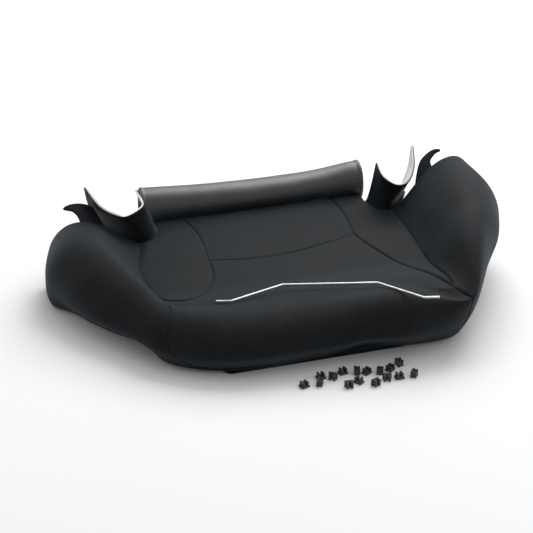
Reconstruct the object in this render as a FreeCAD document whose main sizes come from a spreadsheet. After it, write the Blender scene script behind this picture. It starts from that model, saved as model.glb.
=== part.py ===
"""Trim cover of a car seat cushion, lying loose with its listing wire and hog clips.

The cover is a shell of foam-backed knit cloth.  Its surface is drawn once, by the
functions seat_height and rim_point, and each sewn panel is a stretch of that surface with
the cloth's thickness.  Millimetres; looking at the front of the seat, +X is to the right,
+Y points to the back and +Z is up.  The origin is on the floor, under the middle of the
front under-flap.
"""
import FreeCAD, Part
import math
import os
import Sketcher
from FreeCAD import Placement, Rotation, Vector

doc = FreeCAD.newDocument("seat_cushion_cover")
sheet = doc.addObject("Spreadsheet::Sheet", "Sizes")

DRIVING = [
    ("seat_up", 60, "height of the seat surface at the middle of the cover"),
    ("nose_rise", 13, "how far the seat surface rises towards the nose"),
    ("nose_start", 130, "y where that rise begins"),
    ("nose_run", 105, "length over which the seat surface rises"),
    ("slump", 0.15, "share by which heights grow (right) or shrink (left) at slump_at"),
    ("slump_at", 200, "distance from the middle where the slump is that share"),
    ("twist", 0.08, "shear of the front end: the hem goes back on the right, the top forward"),
    ("twist_up", 50, "height that the twist leaves in place"),
    ("front_to_middle", 150, "y of the seat's middle line, from the front hem"),
    ("cloth", 5.0, "thickness of the foam-backed cloth"),
    ("seam_gap", 0.8, "gap between neighbouring panels at a seam"),
    ("hem_tuck", 22, "degrees that the hem turns inwards"),
    ("flap_radius", 30, "outer radius of the curled rear flap"),
    ("flap_skin", 2.0, "thickness of the rear flap's vinyl"),
    ("flap_length", 344, "length of the rear flap along the rear seam"),
    ("flap_up", 43, "height of the curl above the rear seam"),
    ("rear_seam_y", 375, "y of the rear seam"),
    ("lip_skin", 2.0, "thickness of the plastic retainer strips"),
    ("tongue_face", 1.6, "thickness of a tongue's cloth face"),
    ("tongue_foam", 3.2, "thickness of a tongue's foam backing"),
    ("hook_skin", 4.0, "thickness of a hook tab"),
    ("under_flap_skin", 4.0, "thickness of the front under-flap"),
    ("under_flap_width", 262, "width of the front under-flap"),
    ("under_flap_depth", 44, "depth of the front under-flap"),
    ("under_flap_out", 14, "how far the under-flap reaches in front of the origin"),
    ("under_flap_corner", 12, "bevel of its front corners"),
    ("listing_radius", 1.4, "radius of every listing wire"),
    ("sleeve_outer", 5.0, "outer radius of a wire sleeve"),
    ("sleeve_inner", 2.4, "inner radius of a wire sleeve"),
    ("loose_end", 20.5, "straight end of the loose wire"),
    ("loose_run", 61.5, "run of each of its slopes"),
    ("loose_rise", 48.5, "rise of each of its slopes"),
    ("loose_middle", 128, "length of its middle"),
    ("clip_length", 11.5, "length of a trim clip"),
    ("clip_width", 8.5, "width of a trim clip"),
    ("clip_height", 7.5, "height of a trim clip"),
    ("clip_slot", 3.2, "width of the slot that grips the wire"),
]

# Each station is a section through the rim, taken square to the line where the rim starts.
# The rim rises from that line (the valley) to a ridge, swells out to a bulge and comes
# back in to the hem.  "out" is measured from the valley, "up" from the floor.
COLUMNS = ("valley_x", "valley_y", "heading", "steep", "ridge_out", "ridge_up",
           "bulge_out", "bulge_up", "hem_out", "hem_up")
STATIONS = {
    "rear": (189, 304, 2, 26, 92, 117, 136, 54, 130, 0),
    "side": (203, 225, 0, 46, 78, 126, 132, 54, 126, 4),
    "middle": (201, 160, 0, 44, 56, 118, 112, 56, 91, 14),
    "flank": (188, 102, -34, 36, 38, 98, 75, 50, 46, 16),
    "corner": (174, 58, -62, 22, 30, 84, 63, 44, 44, 9),
    "quarter": (108, 42, -84, 10, 40, 80, 84, 42, 60, 6),
    "front": (0, 42, -90, 7, 40, 78, 84, 41, 60, 6),
    "right_front": (60, 38, -88, 8, 38, 79, 82, 42, 56, 14),
    "right_rear": (201, 297, 2, 36, 93, 122, 134, 62, 122, 4),
    "right_side": (201, 230, 0, 46, 80, 122, 142, 64, 113, 8),
    "right_middle": (197, 160, -6, 44, 64, 118, 116, 68, 81, 14),
    "right_flank": (190, 86, -14, 38, 42, 104, 74, 56, 53, 14),
    "right_corner": (182, 0, -52, -16, 29, 66, 32, 44, 21, 8),
    "right_quarter": (118, 30, -84, 10, 36, 79, 78, 42, 54, 6),
}
LEFT_ROUND = ("rear", "side", "middle", "flank", "corner", "quarter")
RIGHT_ROUND = ("right_front", "right_quarter", "right_corner", "right_flank", "right_middle",
               "right_side", "right_rear")
RIDGE_AT, BULGE_AT = 0.4, 0.7       # where the ridge and the bulge lie along a section
FULLNESS = 1.1                      # how roundly the rim curves between those points


def fill_sheet():
    """Write every driving size into the spreadsheet, one aliased cell each."""
    rows = list(DRIVING)
    for name, values in STATIONS.items():
        rows += [(name + "_" + column, value, "rim section") for column, value in zip(COLUMNS, values)]
    for number, (alias, value, meaning) in enumerate(rows, start=1):
        sheet.set("A%d" % number, meaning)
        sheet.set("B%d" % number, str(value))
        sheet.setAlias("B%d" % number, alias)
    doc.recompute()


def size(alias):
    return float(sheet.get(alias))


fill_sheet()
CLOTH = size("cloth")
GAP = size("seam_gap")
FRONT = size("front_to_middle")


# ---------------------------------------------------------------- the surface

def smooth(ratio):
    """0 below 0, 1 above 1, and an S-shaped step between."""
    ratio = min(max(ratio, 0.0), 1.0)
    return ratio * ratio * (3 - 2 * ratio)


def spline(rows, position):
    """The row of numbers at a position along a smooth curve through the given rows."""
    start = min(max(int(math.floor(position)), 0), len(rows) - 2)
    ratio = position - start
    before = rows[max(start - 1, 0)]
    after = rows[min(start + 2, len(rows) - 1)]
    found = []
    for a, b, c, d in zip(before, rows[start], rows[start + 1], after):
        found.append(blend(b, c, (c - a) / 2, (d - b) / 2, ratio))
    return found


def blend(start, end, start_slope, end_slope, ratio):
    """Cubic from start to end with the given slopes."""
    square, cube = ratio ** 2, ratio ** 3
    return ((2 * cube - 3 * square + 1) * start + (cube - 2 * square + ratio) * start_slope
            + (3 * square - 2 * cube) * end + (cube - square) * end_slope)


def along(rows, ratio):
    """The same curve, with 0 at its first row and 1 at its last."""
    return spline(rows, ratio * (len(rows) - 1))


def station(name, mirrored):
    row = [size(name + "_" + column) for column in COLUMNS]
    if mirrored:
        row[0] = -row[0]
        row[2] = -180 - row[2]
    return row


ROUND = ([station(name, True) for name in LEFT_ROUND] + [station("front", False)]
         + [station(name, False) for name in RIGHT_ROUND])
LAST = len(ROUND) - 1               # number of the right-hand rear station; the left one is 0


def seat_height(y):
    rise = smooth((size("nose_start") - y) / size("nose_run"))
    return size("seat_up") + size("nose_rise") * rise


TWIST_FROM, TWIST_RUN = FRONT + 50, 150     # y where the twist begins, and how far it grows


def settle(x, y, z):
    """Let the loose cover slump to its left and twist at the front, as it lies."""
    front = smooth((TWIST_FROM - y) / TWIST_RUN)
    shift = size("twist") * x * front * (1 - z / size("twist_up"))
    return Vector(x, y + shift, z * (1 + size("slump") * x / size("slump_at")))


def on_seat(x, y):
    return settle(x, y, seat_height(y))


def valley(place):
    """Plan position where the rim starts, at a place between the rear stations 0 and LAST."""
    return spline(ROUND, place)[:2]


def rim_point(place, ratio):
    """A point of the rim: ratio 0 is the valley and 1 the hem."""
    x, y, heading, steep, *section = spline(ROUND, place)
    ridge_out, ridge_up, bulge_out, bulge_up, hem_out, hem_up = section
    rise, tuck = math.radians(steep), math.radians(size("hem_tuck"))
    knots = [(0, 0.0, seat_height(y), math.cos(rise), math.sin(rise)),
             (RIDGE_AT, ridge_out, ridge_up, 1, 0),
             (BULGE_AT, bulge_out, bulge_up, 0, -1),
             (1, hem_out, hem_up, -math.sin(tuck), -math.cos(tuck))]
    leg = (ratio > RIDGE_AT) + (ratio > BULGE_AT)
    a, b = knots[leg], knots[leg + 1]
    reach = FULLNESS * math.hypot(b[1] - a[1], b[2] - a[2])
    step = (ratio - a[0]) / (b[0] - a[0])
    out = blend(a[1], b[1], reach * a[3], reach * b[3], step)
    up = blend(a[2], b[2], reach * a[4], reach * b[4], step)
    turn = math.radians(heading)
    return settle(x + out * math.cos(turn), y + out * math.sin(turn), up)


# ---------------------------------------------------------------- the seams

# Points of the curved seams, behind and in front of where the transverse seam meets them.
LEAF_REAR = {-1: [(112, 371), (103, 322), (101, 265)], 1: [(125, 371), (128, 322), (125, 275)]}
LEAF_FRONT = {-1: [(107, 168), (119, 128), (138, 98), (162, 84)],
              1: [(133, 173), (149, 121), (165, 71), (176, 32)]}
TRANSVERSE = [(-105, 210), (-50, 197), (6, 197), (62, 210), (121, 231)]
REAR_CORNER = {-1: [(157, 371), (156, 345), (162, 320), (175, 304)],     # the thigh panel's cut
               1: [(175, 371), (174, 352), (178, 320), (189, 301)]}      # for the tongue
BOLSTER_START = 0.04                                   # valley place where the bolster starts
REAR_SLANT = {-1: 0.2, 1: 0.7}                         # how far the cut edge slants to the hem

# Where the seam between a bolster and the front panel runs, from valley to hem: the number of
# stations from the rear.  Its first place is where the crease ends.
CORNER_SEAM = {-1: [(3.05,), (3.94,), (4.08,), (4.42,)], 1: [(3.95,), (3.98,), (4.02,), (4.05,)]}
CREASE_END = {side: places[0][0] for side, places in CORNER_SEAM.items()}


def flipped(points, side):
    return [(side * x, y) for x, y in points]


def place_on(side, stations):
    """Place of a number of stations, counted from the rear on the given side."""
    return stations if side < 0 else LAST - stations


def crease_end(side):
    return valley(place_on(side, CREASE_END[side]))


def corner_seam(side, ratio):
    """Place of the seam between bolster and front panel, from valley (0) to hem (1)."""
    return place_on(side, along(CORNER_SEAM[side], ratio)[0])


def rear_edge(side, ratio):
    """Place of a bolster's cut rear edge, from valley (0) to hem (1)."""
    near = BOLSTER_START * (1 - smooth(ratio / RIDGE_AT))
    return place_on(side, near + REAR_SLANT[side] * smooth((ratio - 0.5) / 0.5))


def leaf_seam(side):
    """Points of the curved seam from the rear seam to the end of the crease."""
    meeting = TRANSVERSE[0] if side < 0 else TRANSVERSE[-1]
    return (flipped(LEAF_REAR[side], side) + [meeting] + flipped(LEAF_FRONT[side], side)
            + [tuple(crease_end(side))])


def beside_rear(side, v):
    """A point of that seam between the rear seam (v 0) and the transverse seam (v 1)."""
    return spline(leaf_seam(side), len(LEAF_REAR[side]) * v)


def beside_front(side, v):
    """A point of that seam between the transverse seam (v 0) and the crease (v 1)."""
    return spline(leaf_seam(side), len(LEAF_REAR[side]) + (len(LEAF_FRONT[side]) + 1) * v)


def rear_panel(u, v):
    """Between the leaf seams, from the rear seam (v 0) to the transverse seam (v 1)."""
    left, right = beside_rear(-1, v), beside_rear(1, v)
    cross = along(TRANSVERSE, u)
    chord = [a + (b - a) * u for a, b in zip(TRANSVERSE[0], TRANSVERSE[-1])]
    sag = [(c - d) * v for c, d in zip(cross, chord)]
    return on_seat(left[0] + (right[0] - left[0]) * u + sag[0],
                   left[1] + (right[1] - left[1]) * u + sag[1])


def evened(rows, count=25, steps=200):
    """Points spread evenly along the smooth curve through the given ones."""
    fine = [along(rows, ratio) for ratio in spread(0, 1, steps)]
    walked = [0.0]
    for a, b in zip(fine, fine[1:]):
        walked.append(walked[-1] + math.dist(a, b))
    marks = spread(0, walked[-1], count)
    return [min(zip(walked, fine), key=lambda pair: abs(pair[0] - mark))[1] for mark in marks]


def thigh_panel(side):
    stations = spread(BOLSTER_START, CREASE_END[side], 15)
    crease = [tuple(valley(place_on(side, station))) for station in stations]
    inner = evened(leaf_seam(side))
    outer = evened(flipped(REAR_CORNER[side], side) + crease)

    def point(u, v):
        """u runs round the rim from left to right, v outwards from the leaf seam."""
        back = u if side < 0 else 1 - u
        near, far = along(inner, back), along(outer, back)
        return on_seat(near[0] + (far[0] - near[0]) * v, near[1] + (far[1] - near[1]) * v)
    return point


def bolster_panel(side):
    def point(u, v):
        """u runs from the cut rear edge to the corner seam (on the right the other way)."""
        back = u if side < 0 else 1 - u
        start, end = rear_edge(side, v), corner_seam(side, v)
        return rim_point(start + (end - start) * back, v)
    return point


SEAT_SHARE = 0.42                   # share of the front panel that lies on the seat
BOW_FADE = 4                        # how soon the bow of its side seams fades inside it


def front_panel(u, v):
    """From the transverse seam (v 0) over the nose to the front hem (v 1)."""
    if v >= SEAT_SHARE:
        ratio = (v - SEAT_SHARE) / (1 - SEAT_SHARE)
        left, right = corner_seam(-1, ratio), corner_seam(1, ratio)
        return rim_point(left + (right - left) * u, ratio)
    depth = v / SEAT_SHARE
    rear = along(TRANSVERSE, u)
    left_end, right_end = corner_seam(-1, 0), corner_seam(1, 0)
    front = valley(left_end + (right_end - left_end) * u)
    sides = [beside_front(side, depth) for side in (-1, 1)]
    corners = [(TRANSVERSE[0], crease_end(-1)), (TRANSVERSE[-1], crease_end(1))]
    plan = []
    for axis in range(2):
        across = rear[axis] * (1 - depth) + front[axis] * depth
        bows = [side[axis] - near[axis] * (1 - depth) - far[axis] * depth
                for side, (near, far) in zip(sides, corners)]
        plan.append(across + bows[0] * (1 - u) ** BOW_FADE + bows[1] * u ** BOW_FADE)
    return on_seat(*plan)


# ---------------------------------------------------------------- solids from surfaces

DEGREE = 3
PATCH = 10                          # distance between a panel's control points


def normal(point, u, v):
    """Outward normal of a surface whose u runs round the rim and whose v runs outwards."""
    step = 1e-3
    u_low, u_high = max(u - step, 0), min(u + step, 1)
    v_low, v_high = max(v - step, 0), min(v + step, 1)
    around = point(u_high, v) - point(u_low, v)
    outwards = point(u, v_high) - point(u, v_low)
    return outwards.cross(around).normalize()


def spread(start, end, count):
    return [start + (end - start) * k / (count - 1) for k in range(count)]


def even_knots(count):
    """Knots, and how often each counts, of an open spline with that many control points."""
    spans = count - DEGREE
    return spread(0, 1, spans + 1), [DEGREE + 1] + [1] * (spans - 1) + [DEGREE + 1]


def skin_surface(points):
    """Smooth surface with a grid of control points, which it can't swing outside."""
    u_knots, u_counts = even_knots(len(points))
    v_knots, v_counts = even_knots(len(points[0]))
    surface = Part.BSplineSurface()
    surface.buildFromPolesMultsKnots(points, u_counts, v_counts, u_knots, v_knots,
                                     False, False, DEGREE, DEGREE)
    return surface


def ruled_between(first, second):
    same_way = 1
    return Part.makeRuledSurface(first.toShape(), second.toShape(), same_way)


def closed_solid(faces):
    sewn = Part.makeCompound(faces)
    sewn.sewShape()
    solid = Part.makeSolid(sewn.Shells[0])
    if solid.Volume < 0:
        solid.reverse()
    return solid


def skin_solid(point, thickness, u_values, v_values, depth=0.0):
    """A sheet of even thickness whose outer face lies depth below the given surface."""
    outer, inner = [], []
    for u in u_values:
        outer.append([])
        inner.append([])
        for v in v_values:
            inwards = normal(point, u, v) * -1
            outer[-1].append(point(u, v) + inwards * depth)
            inner[-1].append(point(u, v) + inwards * (depth + thickness))
    top, bottom = skin_surface(outer), skin_surface(inner)
    u_low, u_high, v_low, v_high = top.bounds()
    faces = [top.toShape(), bottom.toShape()]
    faces += [ruled_between(top.uIso(u), bottom.uIso(u)) for u in (u_low, u_high)]
    faces += [ruled_between(top.vIso(v), bottom.vIso(v)) for v in (v_low, v_high)]
    return closed_solid(faces)


nodes = []


def keep(item, label):
    item.Label = label
    nodes.append(item)
    return item


def skin_node(label, *surface):
    item = doc.addObject("Part::Feature", label)
    item.Shape = skin_solid(*surface)
    item.Placement = Placement()
    return keep(item, label)


def trimmed(length, start=0.0, end=1.0):
    """Evenly spread values that stop half a seam gap short of both ends of that length."""
    inset = GAP / 2 / length
    return spread(start + inset, end - inset, round(length / PATCH) + 1)


THIGH_TIP = 0.955                   # the thigh panel stops short of the sharp end of its leaf


def cloth_panels():
    """Each panel's lengths round the rim and outwards set its grid and its trim."""
    skin_node("seat_rear_panel", rear_panel, CLOTH, trimmed(230), trimmed(160))
    skin_node("seat_front_panel", front_panel, CLOTH, trimmed(350), trimmed(340))
    for side, name in ((-1, "left"), (1, "right")):
        ends = (0, THIGH_TIP) if side < 0 else (1 - THIGH_TIP, 1)
        skin_node(name + "_thigh_panel", thigh_panel(side), CLOTH, trimmed(300, *ends), trimmed(70))
        skin_node(name + "_bolster_panel", bolster_panel(side), CLOTH, trimmed(260), trimmed(250))


# ---------------------------------------------------------------- retainers at the hems

# Section of a retainer strip, from its sewn edge down and round its hook: out, up.
LIP = [(-1.2, 19), (-0.4, 12), (0, 6), (-2.5, 1.4), (-6.5, 0.6), (-9.5, 3.4), (-9.6, 7.5)]
LIP_CLEAR = 2.2                     # from the inside of the cloth to the strip
LIP_ENDS = {"front": (5.0, 8.3), "left": (0.5, 3.2), "right": (LAST - 3.4, LAST - 0.9)}


def retainer(start, end):
    def point(u, v):
        """A strip inside the hem between two places; v follows its section."""
        place = start + (end - start) * u
        hem = rim_point(place, 1)
        turn = math.radians(spline(ROUND, place)[2])
        out, up = along(LIP, v)
        outwards = Vector(math.cos(turn), math.sin(turn), 0)
        return hem + outwards * (out - CLOTH - LIP_CLEAR) + Vector(0, 0, up)
    return point


def hem_retainers():
    rows, columns = 19, 14
    for name, ends in LIP_ENDS.items():
        skin_node(name + "_hem_retainer", retainer(*ends), size("lip_skin"),
                  spread(0, 1, rows), spread(0, 1, columns))


# ---------------------------------------------------------------- tongues

# Rows of points from the outer edge round the front to the inner edge: foot, waist, mouth.
TONGUES = {
    -1: ([(-224, 346, 66), (-210, 322, 57), (-194, 308, 53),
          (-178, 308, 53), (-164, 323, 53), (-159, 347, 53)],
         [(-236, 348, 98), (-224, 316, 86), (-207, 299, 78),
          (-189, 297, 75), (-171, 316, 78), (-168, 349, 85)],
         [(-264, 350, 129), (-248, 308, 113), (-226, 289, 104),
          (-207, 288, 102), (-179, 311, 109), (-184, 353, 118)]),
    1: ([(226, 344, 82), (216, 320, 76), (204, 305, 71),
         (192, 306, 69), (181, 324, 68), (178, 354, 68)],
        [(238, 346, 116), (226, 314, 102), (210, 298, 91),
         (197, 299, 88), (186, 318, 90), (182, 346, 97)],
        [(251, 350, 152), (242, 316, 131), (226, 293, 115),
         (205, 290, 112), (186, 306, 122), (187, 342, 132)]),
}


def tongue(side):
    def point(u, v):
        """u runs round the tongue so that its convex side faces out; v goes down from the mouth."""
        back = u if side < 0 else 1 - u
        foot, waist, mouth = [along(row, back) for row in TONGUES[side]]
        return Vector(*along([mouth, waist, foot], v))
    return point


BACKING_END = 0.96                  # the backing stops short of the foot
BACKING_GAP = 0.2                   # glue line between face and backing


def tongues():
    around = spread(0, 1, 17)
    for side, name in ((-1, "left"), (1, "right")):
        skin_node(name + "_tongue_face", tongue(side), size("tongue_face"), around, spread(0, 1, 10))
        skin_node(name + "_tongue_backing", tongue(side), size("tongue_foam"), around,
                  spread(0, BACKING_END, 10), size("tongue_face") + BACKING_GAP)


# ---------------------------------------------------------------- sketched bodies

def new_body(label):
    return keep(doc.addObject("PartDesign::Body", label), label)


def origin_plane(body, role):
    return next(item for item in body.Origin.OriginFeatures if item.Role == role)


def new_sketch(body, name, role):
    sketch = body.newObject("Sketcher::SketchObject", body.Label + "_" + name)
    sketch.AttachmentSupport = (origin_plane(body, role), "")
    sketch.MapMode = "FlatFace"
    return sketch


def draw_loop(sketch, points, closed=True):
    """Straight edges through the points, joined end to end."""
    corners = [Vector(x, y, 0) for x, y in points]
    ends = corners[1:] + corners[:1] if closed else corners[1:]
    for start, end in zip(corners, ends):
        sketch.addGeometry(Part.LineSegment(start, end))
    count = len(ends)
    for number in range(count if closed else count - 1):
        following = (number + 1) % count
        sketch.addConstraint(Sketcher.Constraint("Coincident", number, 2, following, 1))


def pad(body, sketch, alias, midplane=False):
    feature = body.newObject("PartDesign::Pad", body.Label + "_pad")
    feature.Profile = sketch
    feature.setExpression("Length", "Sizes." + alias)
    feature.Midplane = midplane
    return feature


def polar(centre, radius, degrees):
    angle = math.radians(degrees)
    return Vector(centre[0] + radius * math.cos(angle), centre[1] + radius * math.sin(angle), 0)


def lean():
    """Rotation by which the slump tilts what lies across the seat."""
    slope = size("seat_up") * size("slump") / size("slump_at")
    return Rotation(Vector(0, 1, 0), -math.degrees(math.atan(slope)))


def at_rear_seam():
    return Placement(Vector(0, size("rear_seam_y"), size("seat_up") - CLOTH / 2), lean())


FLAP_END = -25                      # degrees at which the curl stops, behind and below
STRIP_CLEAR = 0.6                   # from the inside of the vinyl to the strip
# Section of the strip along that end: depth from the inside of the vinyl, degrees round it.
STRIP = [(0, -1), (0, -24), (-6, -27), (-8, -18), (-6.4, -17), (-4.8, -23), (-1.8, -21), (-1.8, -1)]


def rear_flap():
    """Vinyl sheet that rises from the rear seam and curls over to the back."""
    radius, skin = size("flap_radius"), size("flap_skin")
    centre_up = size("flap_up") - radius
    centre = (math.sqrt(radius ** 2 - centre_up ** 2), centre_up)
    start = 180 + math.degrees(math.asin(centre_up / radius))
    body = new_body("rear_flap")
    sketch = new_sketch(body, "curl", "YZ_Plane")
    for reach in (radius, radius - skin):
        circle = Part.Circle(Vector(*centre, 0), Vector(0, 0, 1), reach)
        sketch.addGeometry(Part.ArcOfCircle(circle, math.radians(FLAP_END), math.radians(start)))
    for angle in (FLAP_END, start):
        ends = [polar(centre, reach, angle) for reach in (radius, radius - skin)]
        sketch.addGeometry(Part.LineSegment(*ends))
    sketch.addConstraint(Sketcher.Constraint("Coincident", 0, 1, 2, 1))
    sketch.addConstraint(Sketcher.Constraint("Coincident", 1, 1, 2, 2))
    sketch.addConstraint(Sketcher.Constraint("Coincident", 0, 2, 3, 1))
    sketch.addConstraint(Sketcher.Constraint("Coincident", 1, 2, 3, 2))
    sketch.addConstraint(Sketcher.Constraint("Coincident", 0, 3, 1, 3))
    outer = sketch.addConstraint(Sketcher.Constraint("Radius", 0, radius))
    sketch.setExpression("Constraints[%d]" % outer, "Sizes.flap_radius")
    inner = sketch.addConstraint(Sketcher.Constraint("Radius", 1, radius - skin))
    sketch.setExpression("Constraints[%d]" % inner, "Sizes.flap_radius - Sizes.flap_skin")
    pad(body, sketch, "flap_length", midplane=True)
    body.Placement = at_rear_seam()

    strip = new_body("rear_flap_retainer")
    hook = new_sketch(strip, "hook", "YZ_Plane")
    inside = radius - skin - STRIP_CLEAR
    draw_loop(hook, [tuple(polar(centre, inside + deep, angle))[:2] for deep, angle in STRIP])
    pad(strip, hook, "flap_length", midplane=True)
    strip.Placement = at_rear_seam()


def under_flap():
    """Cloth flap that shows under the front hem and lies on the floor."""
    half, depth = size("under_flap_width") / 2, size("under_flap_depth")
    front, corner = -size("under_flap_out"), size("under_flap_corner")
    skew = size("twist") * half
    outline = [(-half, front + corner - skew), (-half + corner, front - skew),
               (half - corner, front + skew), (half, front + corner + skew),
               (half, front + depth + skew), (-half, front + depth - skew)]
    body = new_body("front_under_flap")
    sketch = new_sketch(body, "outline", "XY_Plane")
    draw_loop(sketch, outline)
    pad(body, sketch, "under_flap_skin")


# Edges of a hook tab from its sewn edge to its tip: ratio along the rim's section, distance back.
HOOK_FAR = {-1: [(0.23, 0), (0.26, 16), (0.29, 30), (0.35, 34), (0.41, 35), (0.455, 34)],
            1: [(0.15, 0), (0.19, 13), (0.23, 23), (0.28, 25), (0.325, 24), (0.36, 19)]}
HOOK_NEAR = {-1: [(0.38, 0), (0.385, 8), (0.395, 16), (0.415, 23), (0.44, 27), (0.465, 32)],
             1: [(0.28, 0), (0.28, 6), (0.283, 11), (0.295, 14), (0.325, 17), (0.358, 17)]}
HOOK_RISE = 0.45                    # how steeply a tab rises towards the back
HOOK_START = 2 * GAP                # where it begins behind the bolster


def hook_tab(side):
    def point(u, v):
        """u runs from the tip to the sewn edge (on the right the other way), v outwards."""
        back = 1 - u if side < 0 else u
        far, near = along(HOOK_FAR[side], back), along(HOOK_NEAR[side], back)
        ratio, behind = [a + (b - a) * v for a, b in zip(far, near)]
        return rim_point(place_on(side, 0), ratio) + Vector(0, HOOK_START + behind, HOOK_RISE * behind)
    return point


def hook_tabs():
    """Curved tabs, shaped like claws, at the inner end of each bolster's cut rear edge."""
    for side, name in ((-1, "left"), (1, "right")):
        skin_node(name + "_hook_tab", hook_tab(side), size("hook_skin"), spread(0, 1, 9), spread(0, 1, 5))


# ---------------------------------------------------------------- wires and their sleeves

def bent_route(legs, bend):
    """Lines and tangent arcs in a plane: each leg is a length and the turn that ends it."""
    position, heading = Vector(0, 0, 0), 0.0
    edges, shorten = [], 0.0
    for length, turn in legs:
        forward = polar((0, 0), 1, heading)
        tangent = bend * math.tan(math.radians(abs(turn) / 2))
        end = position + forward * (length - shorten - tangent)
        edges.append(Part.LineSegment(position, end))
        if turn:
            side = math.copysign(1, turn)
            centre = end + Vector(-forward.y, forward.x, 0) * bend * side
            middle = centre + polar((0, 0), bend, heading - 90 * side + turn / 2)
            after = centre + polar((0, 0), bend, heading - 90 * side + turn)
            edges.append(Part.Arc(end, middle, after))
            end = after
        position, heading, shorten = end, heading + turn, tangent
    return edges


def pipe_body(label, legs, bend, *radii):
    """A wire, or with two radii a sleeve, swept along a bent route that starts along +X."""
    body = new_body(label)
    spine = new_sketch(body, "route", "XY_Plane")
    for edge in bent_route(legs, bend):
        spine.addGeometry(edge)
    section = new_sketch(body, "section", "YZ_Plane")
    for number, alias in enumerate(radii):
        section.addGeometry(Part.Circle(Vector(0, 0, 0), Vector(0, 0, 1), size(alias)))
        section.addConstraint(Sketcher.Constraint("Coincident", number, 3, -1, 1))
        radius = section.addConstraint(Sketcher.Constraint("Radius", number, size(alias)))
        section.setExpression("Constraints[%d]" % radius, "Sizes." + alias)
    doc.recompute()
    pipe = body.newObject("PartDesign::AdditivePipe", label + "_pipe")
    pipe.Profile = section
    pipe.Spine = (spine, ["Edge%d" % (k + 1) for k in range(len(spine.Geometry))])
    return body


SEAM_LEGS = [(56, 10.5), (70, 19.5), (86, 0)]          # the wire under the transverse seam
SEAM_BEND = 60
SEAM_HEADING = -11.5
SEAM_START = (-104, 202)
SIDE_WIRE_LENGTH = 126
SIDE_WIRE_FOOT, SIDE_WIRE_TOP = (112, 232), (117, 358)
SLEEVE_DROP = 1.0                                      # from the cloth down to a sleeve
WIRE_REST = 0.1                                        # from a sleeve's inside to its wire


def under_seam(x, y):
    """Axis of a sleeve that hangs just below a seam."""
    return on_seat(x, y) - Vector(0, 0, CLOTH + size("sleeve_outer") + SLEEVE_DROP)


def seam_wires():
    across = Placement(under_seam(*SEAM_START), lean() * Rotation(Vector(0, 0, 1), SEAM_HEADING))
    rest = Vector(0, 0, WIRE_REST - size("sleeve_inner") + size("listing_radius"))
    sleeve = pipe_body("transverse_sleeve", SEAM_LEGS, SEAM_BEND, "sleeve_outer", "sleeve_inner")
    sleeve.Placement = across
    wire = pipe_body("transverse_wire", SEAM_LEGS, SEAM_BEND, "listing_radius")
    wire.Placement = Placement(across.Base + rest, across.Rotation)
    for side, name in ((-1, "left"), (1, "right")):
        foot, top = [under_seam(side * x, y) for x, y in (SIDE_WIRE_FOOT, SIDE_WIRE_TOP)]
        turn = Rotation(Vector(0, 0, 1), top - foot)
        outer = cylinder(name + "_sleeve_outside", "sleeve_outer", SIDE_WIRE_LENGTH)
        inner = cylinder(name + "_sleeve_inside", "sleeve_inner", SIDE_WIRE_LENGTH)
        sleeve = keep(doc.addObject("Part::Cut", name + "_sleeve"), name + "_sleeve")
        sleeve.Base, sleeve.Tool = outer, inner
        sleeve.Placement = Placement(foot, turn)
        wire = keep(cylinder(name + "_wire", "listing_radius", SIDE_WIRE_LENGTH), name + "_wire")
        wire.Placement = Placement(foot + rest, turn)


def cylinder(name, alias, length):
    item = doc.addObject("Part::Cylinder", name)
    item.setExpression("Radius", "Sizes." + alias)
    item.Height = length
    return item


LOOSE_START = Vector(-124, 55, 67.5)
LOOSE_END = Vector(147, -51, 93.5)
LOOSE_CREST = Vector(16, 41, -0.8)                        # way that the wire's middle is offset
LOOSE_BEND = 6


def loose_wire():
    """Listing wire bent like a hat, lying across the front of the seat."""
    slope = math.degrees(math.atan2(size("loose_rise"), size("loose_run")))
    reach = math.hypot(size("loose_rise"), size("loose_run"))
    legs = [(size("loose_end"), slope), (reach, -slope), (size("loose_middle"), -slope),
            (reach, slope), (size("loose_end"), 0)]
    body = pipe_body("loose_wire", legs, LOOSE_BEND, "listing_radius")
    forward = (LOOSE_END - LOOSE_START).normalize()
    upward = forward.cross(LOOSE_CREST).normalize()
    body.Placement = Placement(LOOSE_START, Rotation(forward, upward.cross(forward), upward, "XYZ"))


# ---------------------------------------------------------------- trim clips

# Where each clip lies on the floor, the way it points, and whether it lies on its side.
CLIPS = [(-38, -75, 20, 0), (-21, -74, 65, 1), (-12, -59, 10, 0), (4, -62, -30, 1), (19, -54, 15, 0),
         (33, -58, 80, 1), (49, -61, 35, 0), (17, -86, 0, 1), (32, -81, -50, 0), (50, -89, 25, 1),
         (66, -64, 70, 0), (70, -80, -15, 1), (81, -60, 40, 0), (93, -51, 100, 1), (86, -82, 5, 0),
         (103, -80, 55, 1)]


def clip_shape():
    """One clip: a flanged foot with two prongs that snap over a wire."""
    half, slot, top = size("clip_length") / 2, size("clip_slot") / 2, size("clip_height")
    flange, seat = 2.4, 3.0                            # thickness of the flange, floor of the slot
    root, root_up, tip = 3.9, 3.3, 4.4                 # outside of a prong at its root and its tip
    right = [(half, 0), (half, flange), (root, root_up), (tip, top), (slot, top), (slot, seat)]
    body = doc.addObject("PartDesign::Body", "trim_clip")
    body.Label = "trim_clip"
    sketch = new_sketch(body, "section", "XZ_Plane")
    draw_loop(sketch, right + [(-x, z) for x, z in reversed(right)])
    pad(body, sketch, "clip_width", midplane=True)
    doc.recompute()
    return body.Shape


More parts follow.
